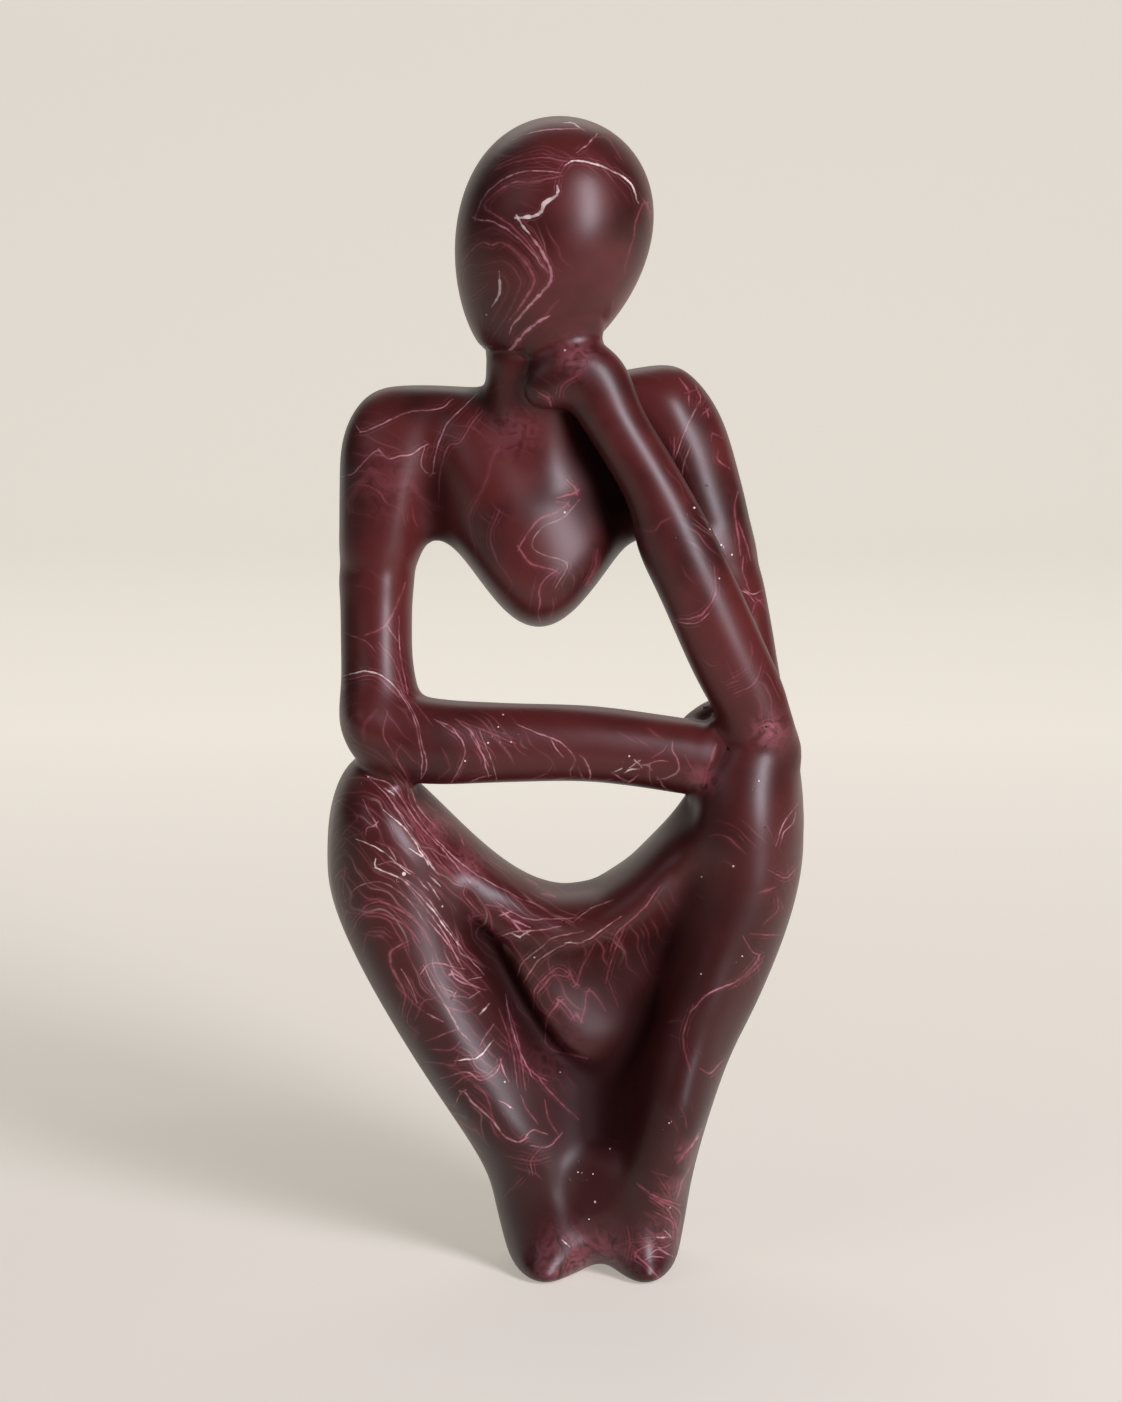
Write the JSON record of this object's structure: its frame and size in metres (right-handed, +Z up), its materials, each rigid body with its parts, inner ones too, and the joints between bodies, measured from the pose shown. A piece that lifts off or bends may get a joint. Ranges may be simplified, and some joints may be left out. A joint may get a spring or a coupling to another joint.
{
  "type": "seated figure sculpture",
  "caption": "Abstract seated figure with a smooth egg head, chin on hand and elbow on knee, its open torso carried on two arms, in marbled jesmonite.",
  "frame": {"origin": "on the floor, under the middle of the figure's bounding box", "axes": "+Z up, the figure faces -Y, its left hand is on +X"},
  "size_m": [0.1079, 0.0501, 0.2599],
  "materials": {
    "jesmonite": "satin, burgundy with pink and cream marbling",
    "dowel_steel": "bright drawn"
  },
  "bodies": {
    "root": {"legs": "jesmonite", "torso": "jesmonite", "head": "jesmonite", "right_arm": "jesmonite", "left_upper_arm": "jesmonite", "left_forearm": "jesmonite", "right_shoulder_dowel": "dowel_steel", "left_shoulder_dowel": "dowel_steel", "right_knee_dowel": "dowel_steel", "left_knee_dowel": "dowel_steel", "left_elbow_dowel": "dowel_steel"}
  },
  "joints": []
}
